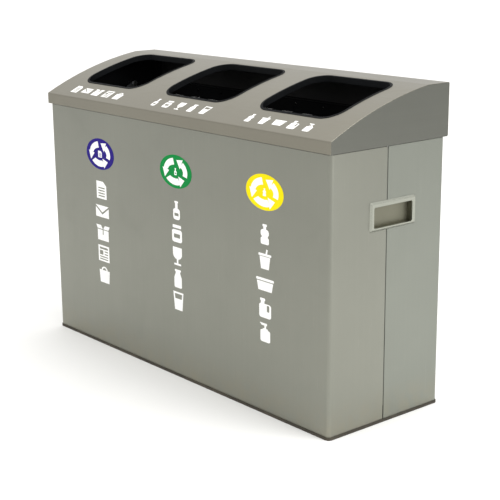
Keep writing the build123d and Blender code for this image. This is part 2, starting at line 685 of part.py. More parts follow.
def lid_stay_studs():
    """Shouldered studs welded to the lid's end panels; the arms turn on them."""
    y, z = STAY_LID_Y, STAY_LID_Z
    wall = LENGTH / 2 - SHEET
    solids = []
    for side in SIDES.values():
        head_x = STAY_X - STUD_GAP
        stud = rod_x(STAY_X + STAY_ARM + STUD_GAP, wall, y, z, STUD_SHOULDER_RADIUS)
        stud += rod_x(head_x, wall, y, z, STUD_RADIUS)
        stud += rod_x(head_x - STUD_HEAD, head_x, y, z, STUD_SHOULDER_RADIUS)
        solids.append(mirror_to(stud, side))
    return group(solids)


# ---------------------------------------------------------------- buckets
BUCKET_FOOT = (292.0, 272.0)
BUCKET_FLOOR = 3.0
BUCKET_FOOT_CORNER = 34.0
BUCKET_MOUTH_CORNER = 40.0
BUCKET_RIM_CORNER = 46.0
BUCKET_FOOT_BEND = 6.0
BUCKET_RIM_OVERHANG = 9.0
BUCKET_RIM_HEIGHT = 6.0
BUCKET_RIB = 1.5
BUCKET_RIB_Z = (140.0, 390.0, 402.0, 470.0)
LUG_INNER = 156.0
LUG_OUTER = 161.0
LUG_RADIUS = 9.0
BAIL_INSET = 8.0           # from the lugs to the legs of the wire
BAIL_END = 2.0             # how far the wire stands out of the lugs
BAIL_HEAD_GAP = 0.6
BAIL_HEAD = 1.5            # the wire's ends are pressed wider by this
BAIL_GRIP_HALF = 55.0
BAIL_GRIP_RADIUS = 7.0
BAIL_GRIP_ROUNDING = 2.0
GROOVE_COUNT = 9
GROOVE_PITCH = 11.0
GROOVE_WIDTH = 3.0
GROOVE_DEPTH = 0.7


def tapered_tub(inset, low, high):
    """Rounded rectangular tub that widens towards the rim; inset moves its walls inwards."""
    foot_length, foot_depth = BUCKET_FOOT
    foot_corner = BUCKET_FOOT_CORNER - inset
    foot = RectangleRounded(foot_length - 2 * inset, foot_depth - 2 * inset, foot_corner)
    length = BUCKET_LENGTH - 2 * (BUCKET_RIM_OVERHANG + inset)
    depth = BUCKET_DEPTH - 2 * (BUCKET_RIM_OVERHANG + inset)
    mouth = RectangleRounded(length, depth, BUCKET_MOUTH_CORNER - inset)
    return loft([Pos(0, 0, low) * foot, Pos(0, 0, high) * mouth])


def bucket(stream):
    outer = tapered_tub(0, TRAY_TOP, BUCKET_TOP)
    outer = fillet(outer.faces().sort_by(Axis.Z)[0].edges(), BUCKET_FOOT_BEND)
    rim = RectangleRounded(BUCKET_LENGTH, BUCKET_DEPTH, BUCKET_RIM_CORNER)
    tub = outer + Pos(0, 0, BUCKET_TOP - BUCKET_RIM_HEIGHT) * extrude(rim, amount=BUCKET_RIM_HEIGHT)
    ribbed = tapered_tub(-BUCKET_RIB, TRAY_TOP, BUCKET_TOP)
    for z in BUCKET_RIB_Z:
        layer = block(-BUCKET_LENGTH, BUCKET_LENGTH, -BUCKET_DEPTH, BUCKET_DEPTH, z, z + 2 * BUCKET_RIB)
        tub += ribbed & layer
    tub -= tapered_tub(BUCKET_WALL, TRAY_TOP + BUCKET_FLOOR, BUCKET_TOP)
    for side in SIDES.values():
        inner = side * LUG_INNER
        outer = side * LUG_OUTER
        lug = block(inner, outer, -LUG_RADIUS, LUG_RADIUS, BUCKET_TOP, BAIL_PIVOT_Z)
        lug += rod_x(inner, outer, 0, BAIL_PIVOT_Z, LUG_RADIUS)
        tub += lug - rod_x(inner, outer, 0, BAIL_PIVOT_Z, BAIL_WIRE + RUNNING_GAP)
    return Pos(STREAM_X[stream], 0, 0) * tub


def bail_path():
    """Centre line of the wire, folded back over the rear half of the rim."""
    leg_x = LUG_INNER - BAIL_INSET
    end_x = LUG_OUTER + BAIL_END
    points = [(-end_x, 0), (-leg_x, 0), (-leg_x, BAIL_REACH), (leg_x, BAIL_REACH), (leg_x, 0), (end_x, 0)]
    return FilletPolyline(*points, radius=BAIL_BEND)


def bail(stream):
    path = bail_path()
    start = Plane(origin=path @ 0, z_dir=path % 0)
    wire = sweep(start * Circle(BAIL_WIRE), path=path)
    for side in SIDES.values():
        head_x = side * (LUG_OUTER + BAIL_HEAD_GAP)
        wire += rod_x(head_x, side * (LUG_OUTER + BAIL_END), 0, 0, BAIL_WIRE + BAIL_HEAD)
    return Pos(STREAM_X[stream], 0, BAIL_PIVOT_Z) * wire


def bail_grip(stream):
    """Moulded tube on the middle of the wire."""
    half = BAIL_GRIP_HALF
    grip = rod_x(-half, half, BAIL_REACH, BAIL_PIVOT_Z, BAIL_GRIP_RADIUS)
    grip = fillet(grip.edges().filter_by(GeomType.CIRCLE), BAIL_GRIP_ROUNDING)
    core = rod_x(-half, half, BAIL_REACH, BAIL_PIVOT_Z, BAIL_GRIP_RADIUS - GROOVE_DEPTH)
    for index in range(GROOVE_COUNT):
        middle = (index - (GROOVE_COUNT - 1) / 2) * GROOVE_PITCH
        x0 = middle - GROOVE_WIDTH / 2
        x1 = middle + GROOVE_WIDTH / 2
        grip -= rod_x(x0, x1, BAIL_REACH, BAIL_PIVOT_Z, 2 * BAIL_GRIP_RADIUS) - core
    grip -= rod_x(-half, half, BAIL_REACH, BAIL_PIVOT_Z, BAIL_WIRE + RUNNING_GAP)
    return Pos(STREAM_X[stream], 0, 0) * grip


# ---------------------------------------------------------------- stickers and pictograms
def bar(width, height, x=0.0, y=0.0):
    return Pos(x, y) * Rectangle(width, height)


def soft_bar(width, height, radius, x=0.0, y=0.0):
    return Pos(x, y) * RectangleRounded(width, height, radius)


def shape(*points):
    return Polygon(*points, align=None)


# Every pictogram is drawn one unit high around the origin, and scaled where it is used.
def page_icon():
    """A written page with a folded corner."""
    page = shape((-0.38, -0.5), (0.38, -0.5), (0.38, 0.26), (0.14, 0.5), (-0.38, 0.5))
    for row in range(4):
        page -= bar(0.5, 0.07, 0, 0.12 - 0.155 * row)
    return page


def envelope_icon():
    """A closed envelope; the gap shows its flap."""
    flap_gap = shape((-0.5, 0.22), (0, -0.18), (0.5, 0.22), (0.5, 0.34), (0, -0.06), (-0.5, 0.34))
    return bar(1.0, 0.68) - flap_gap


def carton_icon():
    """An open cardboard box."""
    body = bar(0.84, 0.62, 0, -0.16) - bar(0.07, 0.28, 0, 0.01)
    left = shape((-0.42, 0.2), (-0.02, 0.2), (-0.15, 0.42), (-0.52, 0.42))
    return body + left + mirror(left, about=Plane.YZ)


def news_icon():
    """A newspaper page with a picture and columns."""
    page = bar(0.84, 0.94) - bar(0.64, 0.12, 0, 0.3) - bar(0.27, 0.26, -0.185, 0.04)
    for row in range(2):
        page -= bar(0.27, 0.07, 0.185, 0.12 - 0.16 * row)
        page -= bar(0.64, 0.07, 0, -0.2 - 0.14 * row)
    return page


def bag_icon():
    """A paper bag with a looped handle."""
    loop = (Circle(0.24) - Circle(0.15)) & bar(1, 0.5, 0, 0.25)
    return shape((-0.34, -0.5), (0.34, -0.5), (0.4, 0.24), (-0.4, 0.24)) + Pos(0, 0.22) * loop


def bottle_icon():
    """A round-shouldered glass bottle with a label."""
    body = soft_bar(0.44, 0.6, 0.14, 0, -0.2)
    return body + bar(0.16, 0.42, 0, 0.24) + soft_bar(0.24, 0.1, 0.03, 0, 0.45) - bar(0.28, 0.16, 0, -0.22)


def jar_icon():
    """A preserving jar with a screw lid."""
    body = soft_bar(0.66, 0.68, 0.13, 0, -0.14)
    return body + soft_bar(0.56, 0.17, 0.04, 0, 0.37) - soft_bar(0.42, 0.22, 0.04, 0, -0.14)


def goblet_icon():
    """A stemmed glass."""
    bowl = Circle(0.3) & bar(1, 0.5, 0, -0.25)
    bowl = Pos(0, 0.12) * (bowl + bar(0.6, 0.36, 0, 0.18))
    return bowl + bar(0.1, 0.34, 0, -0.3) + soft_bar(0.46, 0.1, 0.03, 0, -0.45)


def milk_icon():
    """A wide-necked milk bottle."""
    shoulder = shape((-0.25, 0.05), (0.25, 0.05), (0.15, 0.3), (-0.15, 0.3))
    body = soft_bar(0.5, 0.6, 0.08, 0, -0.2) + shoulder + bar(0.3, 0.14, 0, 0.34)
    return body + soft_bar(0.4, 0.11, 0.03, 0, 0.445)


def tumbler_icon():
    """A straight glass, part filled."""
    empty = shape((-0.22, 0.12), (0.22, 0.12), (0.25, 0.4), (-0.25, 0.4))
    return shape((-0.25, -0.5), (0.25, -0.5), (0.34, 0.5), (-0.34, 0.5)) - empty


def soda_icon():
    """A waisted plastic bottle with a cap."""
    low = soft_bar(0.46, 0.34, 0.08, 0, -0.33)
    high = soft_bar(0.46, 0.38, 0.16, 0, 0.06)
    top = bar(0.15, 0.2, 0, 0.28) + soft_bar(0.24, 0.12, 0.03, 0, 0.44)
    return low + high + bar(0.34, 0.3, 0, -0.15) + top


def cup_icon():
    """A tapered cup with a lid and a straw."""
    cup = shape((-0.22, -0.5), (0.22, -0.5), (0.3, 0.12), (-0.3, 0.12))
    straw = Pos(0.1, 0.36) * Rot(0, 0, -12) * Rectangle(0.08, 0.28)
    return cup + soft_bar(0.72, 0.12, 0.03, 0, 0.21) + straw


def tub_icon():
    """A wide food tub with a flat lid."""
    tub = shape((-0.38, -0.36), (0.38, -0.36), (0.46, 0.1), (-0.46, 0.1))
    return tub + soft_bar(1.0, 0.13, 0.04, 0, 0.21)


def jug_icon():
    """A jug for cleaning liquid, with a moulded handle."""
    body = soft_bar(0.68, 0.72, 0.12, 0, -0.14) - soft_bar(0.14, 0.34, 0.06, 0.17, 0.0)
    return body + bar(0.2, 0.16, -0.14, 0.28) + soft_bar(0.28, 0.13, 0.03, -0.14, 0.42)


def pump_icon():
    """A soap bottle with a pump."""
    pump = bar(0.1, 0.3, 0, 0.2) + soft_bar(0.3, 0.1, 0.03, 0, 0.14)
    nozzle = shape((-0.2, 0.34), (0.1, 0.34), (0.1, 0.46), (-0.32, 0.46))
    return soft_bar(0.56, 0.62, 0.1, 0, -0.19) + pump + nozzle


ICONS = {
    "paper": (page_icon, envelope_icon, carton_icon, news_icon, bag_icon),
    "glass": (bottle_icon, jar_icon, goblet_icon, milk_icon, tumbler_icon),
    "plastic": (soda_icon, cup_icon, tub_icon, jug_icon, pump_icon),
}
ICON_COUNT = len(ICONS["paper"])


def stretched(icon, size):
    """A pictogram at its real size."""
    return scale(icon(), by=(ICON_STRETCH * size, size, size))


# The ring on a sticker follows an ellipse between its edge and its middle.
RING_X = 0.305 * STICKER_LENGTH
RING_Y = 0.305 * STICKER_HEIGHT
RING_BAND = 0.2 * STICKER_HEIGHT
ARROW_HALF = 0.16 * STICKER_HEIGHT
ARROW_LENGTH = 0.26 * STICKER_HEIGHT
STICKER_ICON = 0.21 * STICKER_HEIGHT
ARROW_FIRST = 100.0        # where the first arrow starts, in degrees
ARROW_SWEEP = 72.0


def ring_arrow(start):
    """One of the ring's three curved arrows, drawn counter-clockwise from an angle in degrees."""
    band = Ellipse(RING_X + RING_BAND / 2, RING_Y + RING_BAND / 2)
    band -= Ellipse(RING_X - RING_BAND / 2, RING_Y - RING_BAND / 2)
    corners = [(0, 0)]
    for part in range(4):
        angle = radians(start + ARROW_SWEEP * part / 3)
        corners.append((STICKER_LENGTH * cos(angle), STICKER_HEIGHT * sin(angle)))
    end = radians(start + ARROW_SWEEP)
    x = RING_X * cos(end)
    y = RING_Y * sin(end)
    pace = hypot(RING_X * sin(end), RING_Y * cos(end))
    along = (-RING_X * sin(end) / pace, RING_Y * cos(end) / pace)
    head = shape(
        (x + along[1] * ARROW_HALF, y - along[0] * ARROW_HALF),
        (x + along[0] * ARROW_LENGTH, y + along[1] * ARROW_LENGTH),
        (x - along[1] * ARROW_HALF, y + along[0] * ARROW_HALF),
    )
    return (band & shape(*corners)) + head


def sticker_print(stream):
    """White ring of three arrows around the stream's first pictogram."""
    mark = stretched(ICONS[stream][0], STICKER_ICON)
    for index in range(3):
        mark += ring_arrow(ARROW_FIRST + 120 * index)
    return mark


def on_front(outline, x, z, behind, film):
    """Lays a drawing on the front of the body as a film of the given thickness."""
    plane = Plane(origin=(x, -BODY_Y - behind, z), x_dir=(1, 0, 0), z_dir=(0, -1, 0))
    return extrude(plane * outline, amount=film)


def sticker_disc(stream):
    outline = Ellipse(STICKER_LENGTH / 2, STICKER_HEIGHT / 2)
    return on_front(outline, STICKER_X[stream], STICKER_Z, 0, STICKER_FILM)


def sticker_arrows(stream):
    outline = sticker_print(stream)
    return group(on_front(outline, STICKER_X[stream], STICKER_Z, STICKER_FILM, PRINT_FILM).solids())


def front_pictograms(stream):
    """A column of pictograms under the sticker."""
    solids = []
    for row, icon in enumerate(ICONS[stream]):
        z = FRONT_ICON_TOP - row * FRONT_ICON_PITCH
        outline = stretched(icon, FRONT_ICON)
        solids += on_front(outline, STICKER_X[stream], z, 0, PRINT_FILM).solids()
    return group(solids)


def lid_pictograms(stream):
    """A row of small pictograms on the curved top, in front of the opening."""
    half_row = ICON_COUNT * LID_ICON_PITCH / 2
    left = STREAM_X[stream] - half_row
    right = STREAM_X[stream] + half_row
    film = lid_volume(-PRINT_FILM, left, right) - lid_volume(0, left, right)
    solids = []
    for column, icon in enumerate(ICONS[stream]):
        x = left + (column + 0.5) * LID_ICON_PITCH
        outline = Pos(x, LID_ICON_Y, LIP_TOP) * stretched(icon, LID_ICON)
        solids += (film & extrude(outline, amount=HEIGHT - LIP_TOP)).solids()
    return group(solids)


# ---------------------------------------------------------------- write every piece
os.makedirs("parts", exist_ok=True)

write("base_edge_strip", base_edge_strip())
write("base_tray", base_tray())
write("feet", feet())
write("foot_screws", foot_screws())
write("front_shell", front_shell())
write("rear_shell", rear_shell())
write("body_hinge_leaf", body_hinge_leaf())
write("body_hinge_rivets", body_hinge_rivets())
write("hinge_pin", hinge_pin())
write("lid_buffers", lid_buffers())
write("stay_guide_rivets", stay_guide_rivets())
write("lid_top_sheet", lid_top_sheet())
write("lid_front_stiffener", lid_front_stiffener())
write("lid_lining", lid_lining())
write("lid_hinge_leaf", lid_hinge_leaf())
write("lid_hinge_rivets", lid_hinge_rivets())
write("lid_stay_studs", lid_stay_studs())
for side_name, side_sign in SIDES.items():
    write(f"lower_seam_strip_{side_name}", seam_strip(side_sign, STRIP_LOW, POCKET_LOW - STRIP_END_GAP))
    write(f"upper_seam_strip_{side_name}", seam_strip(side_sign, POCKET_HIGH + STRIP_END_GAP, STRIP_HIGH))
    write(f"divider_{side_name}", divider(side_sign))
    write(f"handle_frame_{side_name}", handle_frame(side_sign))
    write(f"handle_pocket_{side_name}", handle_pocket(side_sign))
    write(f"stay_guide_{side_name}", stay_guide(side_sign))
    write(f"stay_arm_{side_name}", stay_arm(side_sign))
    write(f"stay_pin_{side_name}", stay_pin(side_sign))
    write(f"lid_end_{side_name}", lid_end(side_sign))
for stream_name in STREAMS:
    write(f"{stream_name}_bucket", bucket(stream_name))
    write(f"{stream_name}_bail", bail(stream_name))
    write(f"{stream_name}_bail_grip", bail_grip(stream_name))
    write(f"{stream_name}_opening_trim", opening_trim(stream_name))
    write(f"{stream_name}_sticker", sticker_disc(stream_name))
    write(f"{stream_name}_sticker_arrows", sticker_arrows(stream_name))
    write(f"{stream_name}_front_marks", front_pictograms(stream_name))
    write(f"{stream_name}_lid_marks", lid_pictograms(stream_name))
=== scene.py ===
import math

import bpy
from mathutils import Matrix, Vector

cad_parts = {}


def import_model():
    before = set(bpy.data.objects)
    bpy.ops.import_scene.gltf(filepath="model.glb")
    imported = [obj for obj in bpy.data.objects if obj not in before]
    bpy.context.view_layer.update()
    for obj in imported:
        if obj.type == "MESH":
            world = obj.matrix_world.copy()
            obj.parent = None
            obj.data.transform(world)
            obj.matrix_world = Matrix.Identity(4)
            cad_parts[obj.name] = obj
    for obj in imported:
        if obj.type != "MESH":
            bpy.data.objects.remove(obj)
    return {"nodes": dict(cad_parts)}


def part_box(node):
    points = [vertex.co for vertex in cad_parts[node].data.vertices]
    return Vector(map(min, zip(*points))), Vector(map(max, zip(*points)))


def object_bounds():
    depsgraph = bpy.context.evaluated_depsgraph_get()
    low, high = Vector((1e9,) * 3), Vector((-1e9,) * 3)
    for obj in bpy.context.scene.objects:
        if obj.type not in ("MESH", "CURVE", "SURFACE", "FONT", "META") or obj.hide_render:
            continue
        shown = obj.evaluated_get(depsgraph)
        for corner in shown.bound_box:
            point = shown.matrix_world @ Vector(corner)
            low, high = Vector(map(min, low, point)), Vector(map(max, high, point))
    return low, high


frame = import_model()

CAD_LOW, CAD_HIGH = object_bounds()
NODES = frame["nodes"]
STREAMS = ("paper", "glass", "plastic")
SIDES = ("left", "right")
X_AXIS, Y_AXIS, Z_AXIS = 0, 1, 2


# ---------------------------------------------------------------- node helpers
class Shader:
    """A material under construction: short calls that add and join shader nodes."""

    def __init__(self, name):
        self.material = bpy.data.materials.new(name)
        self.material.use_nodes = True
        self.tree = self.material.node_tree
        self.tree.nodes.clear()
        self.output = self.tree.nodes.new("ShaderNodeOutputMaterial")
        self.bsdf = self.add("ShaderNodeBsdfPrincipled")
        self.tree.links.new(self.bsdf.outputs[0], self.output.inputs["Surface"])

    def add(self, kind, **inputs):
        """Adds a node; inputs are values or other nodes' sockets, named by socket."""
        node = self.tree.nodes.new(kind)
        for key, value in inputs.items():
            self.put(node.inputs[key.replace("_", " ")], value)
        return node

    def put(self, socket, value):
        """Gives an input a value, or joins it to another node's output."""
        if isinstance(value, bpy.types.NodeSocket):
            self.tree.links.new(value, socket)
        else:
            socket.default_value = value

    def set(self, **inputs):
        """Sets inputs of the principled shader."""
        for key, value in inputs.items():
            self.put(self.bsdf.inputs[key.replace("_", " ")], value)

    def noise(self, scale, detail=3.0, roughness=0.55, distortion=0.0):
        """Noise in row-frame coordinates; the scale is one number, or one for each axis."""
        scales = scale if isinstance(scale, (tuple, list)) else (scale,) * 3
        coords = self.add("ShaderNodeTexCoord")
        mapping = self.add("ShaderNodeMapping", Vector=coords.outputs["Object"], Scale=scales)
        node = self.add("ShaderNodeTexNoise", Vector=mapping.outputs[0], Scale=1.0, Detail=detail,
                        Roughness=roughness, Distortion=distortion)
        return node.outputs["Fac"]

    def remap(self, value, low, high, to_low=0.0, to_high=1.0):
        node = self.add("ShaderNodeMapRange", Value=value, From_Min=low, From_Max=high,
                        To_Min=to_low, To_Max=to_high)
        return node.outputs[0]

    def math(self, operation, first, second):
        node = self.tree.nodes.new("ShaderNodeMath")
        node.operation = operation
        self.put(node.inputs[0], first)
        self.put(node.inputs[1], second)
        return node.outputs[0]

    def mix(self, share, first, second):
        """Mixes two colours by a share from 0 to 1."""
        node = self.tree.nodes.new("ShaderNodeMix")
        node.data_type = "RGBA"
        share_socket, first_socket, second_socket = node.inputs[0], node.inputs[6], node.inputs[7]
        self.put(share_socket, share)
        self.put(first_socket, first)
        self.put(second_socket, second)
        return node.outputs[2]

    def vector(self, operation, first, second=None, scale=None):
        """Vector arithmetic; gives a vector, or a number for a dot product."""
        node = self.tree.nodes.new("ShaderNodeVectorMath")
        node.operation = operation
        self.put(node.inputs[0], first)
        if second is not None:
            self.put(node.inputs[1], second)
        if scale is not None:
            self.put(node.inputs["Scale"], scale)
        return node.outputs["Value" if operation == "DOT_PRODUCT" else "Vector"]

    def facing_out(self, low, high, turned=-0.12, level=-0.06):
        """1 on faces that look away from a box, 0 on faces that look back towards it. The change
        lies between two cosines just past level with the box."""
        coords = self.add("ShaderNodeTexCoord")
        place = coords.outputs["Object"]
        nearest = self.vector("MAXIMUM", low, self.vector("MINIMUM", high, place))
        outward = self.vector("NORMALIZE", self.vector("SUBTRACT", place, nearest))
        return self.remap(self.vector("DOT_PRODUCT", outward, coords.outputs["Normal"]), turned, level)

    def height(self):
        """Height above the floor in metres, with the object at rest."""
        coords = self.add("ShaderNodeTexCoord")
        return self.add("ShaderNodeSeparateXYZ", Vector=coords.outputs["Object"]).outputs["Z"]

    def bump(self, height, strength, distance, normal=None):
        node = self.add("ShaderNodeBump", Height=height, Strength=strength, Distance=distance)
        if normal is not None:
            self.put(node.inputs["Normal"], normal)
        return node.outputs[0]


def colour(red, green, blue):
    """A display colour, 0 to 255, as linear light."""
    linear = []
    for value in (red, green, blue):
        share = value / 255
        linear.append(share / 12.92 if share <= 0.04045 else ((share + 0.055) / 1.055) ** 2.4)
    return (*linear, 1.0)


def shade(tint, factor):
    """The same colour, lighter or darker."""
    return tuple(min(1.0, channel * factor) for channel in tint[:3]) + (1.0,)


def along_axis(axis, across, along):
    """A noise scale that draws the pattern out along one axis."""
    scale = [across] * 3
    scale[axis] = along
    return scale


# ---------------------------------------------------------------- materials
# Painted shade: faces that look towards the middle of the body or of the lid are painted near black and
# dull, standing in for the dark inside the bin. Each middle is a box, set in from the outer faces by a
# little more than any fold or hem.
CORE_INSET = 0.012
SHELL_LOW, SHELL_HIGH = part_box("front_shell")[0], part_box("rear_shell")[1]
LID_LOW, LID_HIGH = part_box("lid_top_sheet")
BODY_CORE = (
    (SHELL_LOW.x + CORE_INSET, SHELL_LOW.y + CORE_INSET, -1.0),
    (SHELL_HIGH.x - CORE_INSET, SHELL_HIGH.y - CORE_INSET, 1.0),
)
LID_CORE = (
    (LID_LOW.x + CORE_INSET, LID_LOW.y + CORE_INSET, 0.0),
    (LID_HIGH.x - CORE_INSET, LID_HIGH.y - CORE_INSET, LID_LOW.z + CORE_INSET),
)
# Near black: the painted shade on inner faces, and the real powder coating of the tray, stiffener and
# dividers.
COAT_AND_PAINTED_SHADE_BLACK = colour(7, 8, 9)
COAT_AND_PAINTED_SHADE_SHINE = 0.12
PAINTED_SHADE_CLOUDING = 1.6        # how much lighter the painted shade is in patches
PAINTED_SHADE_EXTRA_ROUGHNESS = 0.45
DUST = colour(150, 142, 122)
DUST_HEIGHT = 0.09
DUST_SHARE = 0.45

# Noise scales in cycles per metre; for a brushed grain, across it and along it.
FINE_LINES = (1900.0, 16.0)
STREAKS = (150.0, 1.6)
HAIRLINES = (700.0, 11.0)
FIBRES = (1200.0, 400.0)
SCUFFS = (55.0, 9.0)
STEEL_CLOUDS = 3.0
STEEL_WAVES = 2.4
SMUDGES = 10.0
DUST_PATCHES = 30.0
DRAW_MARKS = 900.0
DULL_PATCHES = 60.0
COAT_CLOUDS = 9.0
COAT_TEXTURE = 700.0
PLASTIC_CLOUDS = 14.0
PLASTIC_GRAIN = 900.0
VINYL_CLOUDS = 22.0
ORANGE_PEEL = 420.0

# Noise values between which a pattern sets in.
SOFT_BAND = (0.3, 0.7)
PATCH_BAND = (0.4, 0.7)
TONE_BAND = (0.34, 0.66)
HAIRLINE_BAND = (0.74, 0.8)
SMUDGE_BAND = (0.52, 0.74)
CLOUD_BAND = (0.45, 0.75)
SCUFF_BAND = (0.6, 0.75)
FADE_BAND = (0.35, 0.7)

# Shares of the patterns in brushed steel's tone, and how far the tone moves.
LINE_SHARE = 0.3
STREAK_SHARE = 0.15
CLOUD_SHARE = 0.55
TONE_SPREAD = 0.045
HAIRLINE_SHARE = 0.35
HAIRLINE_GLINT = 1.5
SMUDGE_ROUGHNESS = 0.06
BRUSHED_ANISOTROPY = 0.5
SCUFF_SHARE = 0.3
SCUFF_TONE = 2.4


def steel_tone(shader, tint, axis, lines, cloud):
    """Colour of brushed sheet: lines and streaks along the brushing, soft clouds, hairlines."""
    streaks = shader.noise(along_axis(axis, *STREAKS), detail=2.0)
    tone = shader.math("MULTIPLY", lines, LINE_SHARE)
    tone = shader.math("ADD", tone, shader.math("MULTIPLY", streaks, STREAK_SHARE))
    tone = shader.math("ADD", tone, shader.math("MULTIPLY", cloud, CLOUD_SHARE))
    darker = shade(tint, 1.0 - TONE_SPREAD)
    lighter = shade(tint, 1.0 + TONE_SPREAD)
    base = shader.mix(shader.remap(tone, *TONE_BAND), darker, lighter)
    hairlines = shader.noise(along_axis(axis, *HAIRLINES), detail=1.0)
    hairlines = shader.math("MULTIPLY", shader.remap(hairlines, *HAIRLINE_BAND), HAIRLINE_SHARE)
    return shader.mix(hairlines, base, shade(tint, HAIRLINE_GLINT))


def dusty(shader, base):
    """A thin film of dust that fades out above the floor."""
    dust = shader.remap(shader.height(), DUST_HEIGHT, 0.0)
    patches = shader.remap(shader.noise(DUST_PATCHES, detail=4.0), *SOFT_BAND)
    dust = shader.math("MULTIPLY", shader.math("MULTIPLY", dust, patches), DUST_SHARE)
    return shader.mix(dust, base, DUST)


def brushed_steel(name, tint, axis, roughness=0.34, core=None, dust=False, painted_reflection_fall=None):
    """Satin stainless sheet, brushed along one axis, with faint smudges. Faces that look towards
    the core box are painted near black, a painted shade for the dark inside. The fall argument
    gives the tone's factor at the floor and at the top of the body: a painted reflection of the floor."""
    shader = Shader(name)
    lines = shader.noise(along_axis(axis, *FINE_LINES), detail=3.0, roughness=0.65)
    cloud = shader.noise(STEEL_CLOUDS, detail=3.0)
    base = steel_tone(shader, tint, axis, lines, cloud)
    # Painted reflection of the bright floor: the tone is lighter towards the floor and darker towards the
    # top of the body.
    if painted_reflection_fall:
        base = shader.vector("SCALE", base, scale=shader.remap(shader.height(), 0.0, SHELL_HIGH.z, *painted_reflection_fall))
    if dust:
        base = dusty(shader, base)
    smudge = shader.remap(shader.noise(SMUDGES, detail=5.0, distortion=0.7), *SMUDGE_BAND)
    rough = shader.remap(lines, *SOFT_BAND, roughness - 0.04, roughness + 0.06)
    rough = shader.math("ADD", rough, shader.math("MULTIPLY", smudge, SMUDGE_ROUGHNESS))
    metallic = 1.0
    # Painted shade: faces that look towards the core box turn near black, dull and not metallic.
    if core:
        metallic = shader.facing_out(*core)
        patches = shader.remap(cloud, *PATCH_BAND)
        inner_black = shader.mix(patches, COAT_AND_PAINTED_SHADE_BLACK, shade(COAT_AND_PAINTED_SHADE_BLACK, PAINTED_SHADE_CLOUDING))
        base = shader.mix(metallic, inner_black, base)
        rough = shader.math("ADD", rough, shader.remap(metallic, 0.0, 1.0, PAINTED_SHADE_EXTRA_ROUGHNESS, 0.0))
        shader.set(Specular_IOR_Level=shader.remap(metallic, 0.0, 1.0, COAT_AND_PAINTED_SHADE_SHINE, 0.5))
    tangent = shader.add("ShaderNodeCombineXYZ", **{"XYZ"[axis]: 1.0})
    waves = shader.bump(shader.noise(STEEL_WAVES, detail=1.0), 0.3, 0.005)
    shader.set(Base_Color=base, Metallic=metallic, Roughness=rough, Anisotropic=BRUSHED_ANISOTROPY)
    shader.set(Tangent=tangent.outputs[0], Normal=shader.bump(lines, 0.05, 0.0004, waves))
    return shader.material


def turned_steel(name, tint, roughness, core=None):
    """Bright wire, pins and rivets: fine draw marks and a few dull patches."""
    shader = Shader(name)
    patches = shader.noise(DULL_PATCHES, detail=4.0)
    base = shader.mix(shader.remap(patches, *PATCH_BAND), tint, shade(tint, 0.8))
    if core:
        # Painted shade: faces that look towards the core box turn near black.
        base = shader.mix(shader.facing_out(*core), COAT_AND_PAINTED_SHADE_BLACK, base)
    rough = shader.remap(patches, *SOFT_BAND, roughness - 0.05, roughness + 0.12)
    shader.set(Base_Color=base, Metallic=1.0, Roughness=rough)
    shader.set(Normal=shader.bump(shader.noise(DRAW_MARKS, detail=2.0), 0.12, 0.0002))
    return shader.material


def powder_coat(name, tint):
    """Stoved coating with a fine texture."""
    shader = Shader(name)
    cloud = shader.noise(COAT_CLOUDS, detail=3.0)
    shader.set(Base_Color=shader.mix(shader.remap(cloud, *PATCH_BAND), tint, shade(tint, 1.5)))
    shader.set(Roughness=shader.remap(cloud, *SOFT_BAND, 0.68, 0.8), Specular_IOR_Level=COAT_AND_PAINTED_SHADE_SHINE)
    shader.set(Normal=shader.bump(shader.noise(COAT_TEXTURE, detail=2.0), 0.2, 0.0003))
    return shader.material


def black_moulding(name, tint, roughness=0.5, dust=0.6, shine=0.3):
    """Moulded plastic or rubber with a fine grain, light scuffs and a little dust."""
    shader = Shader(name)
    cloud = shader.noise(PLASTIC_CLOUDS, detail=4.0)
    scuffs = shader.remap(shader.noise(along_axis(Z_AXIS, *SCUFFS), detail=5.0), *SCUFF_BAND)
    base = shader.mix(shader.remap(cloud, *CLOUD_BAND), tint, shade(tint, 1.0 + dust))
    base = shader.mix(shader.math("MULTIPLY", scuffs, SCUFF_SHARE), base, shade(tint, SCUFF_TONE))
    rough = shader.remap(cloud, *SOFT_BAND, roughness - 0.06, roughness + 0.08)
    shader.set(Base_Color=base, Roughness=rough, Specular_IOR_Level=shine)
    shader.set(Normal=shader.bump(shader.noise(PLASTIC_GRAIN, detail=2.0), 0.25, 0.0002))
    return shader.material


def felted_mat(name, tint):
    """Anti-drumming mat: dull, slightly fibrous."""
    shader = Shader(name)
    fibres = shader.noise(along_axis(Y_AXIS, *FIBRES), detail=4.0, distortion=1.5)
    shader.set(Base_Color=shader.mix(shader.remap(fibres, *FADE_BAND), tint, shade(tint, 1.7)))
    shader.set(Roughness=0.9)
    shader.set(Normal=shader.bump(fibres, 0.4, 0.0005))
    return shader.material


def vinyl(name, tint, roughness=0.5):
    """Printed vinyl film: slight orange peel, faint fading and a soft gloss."""
    shader = Shader(name)
    cloud = shader.noise(VINYL_CLOUDS, detail=3.0)
    faded = tuple(channel * 0.92 + 0.004 for channel in tint[:3]) + (1.0,)
    rough = shader.remap(cloud, *SOFT_BAND, roughness - 0.05, roughness + 0.08)
    shader.set(Base_Color=shader.mix(shader.remap(cloud, *FADE_BAND), tint, faded))
    shader.set(Roughness=rough, Specular_IOR_Level=0.08)
    shader.set(Normal=shader.bump(shader.noise(ORANGE_PEEL, detail=1.0), 0.06, 0.0003))
    return shader.material


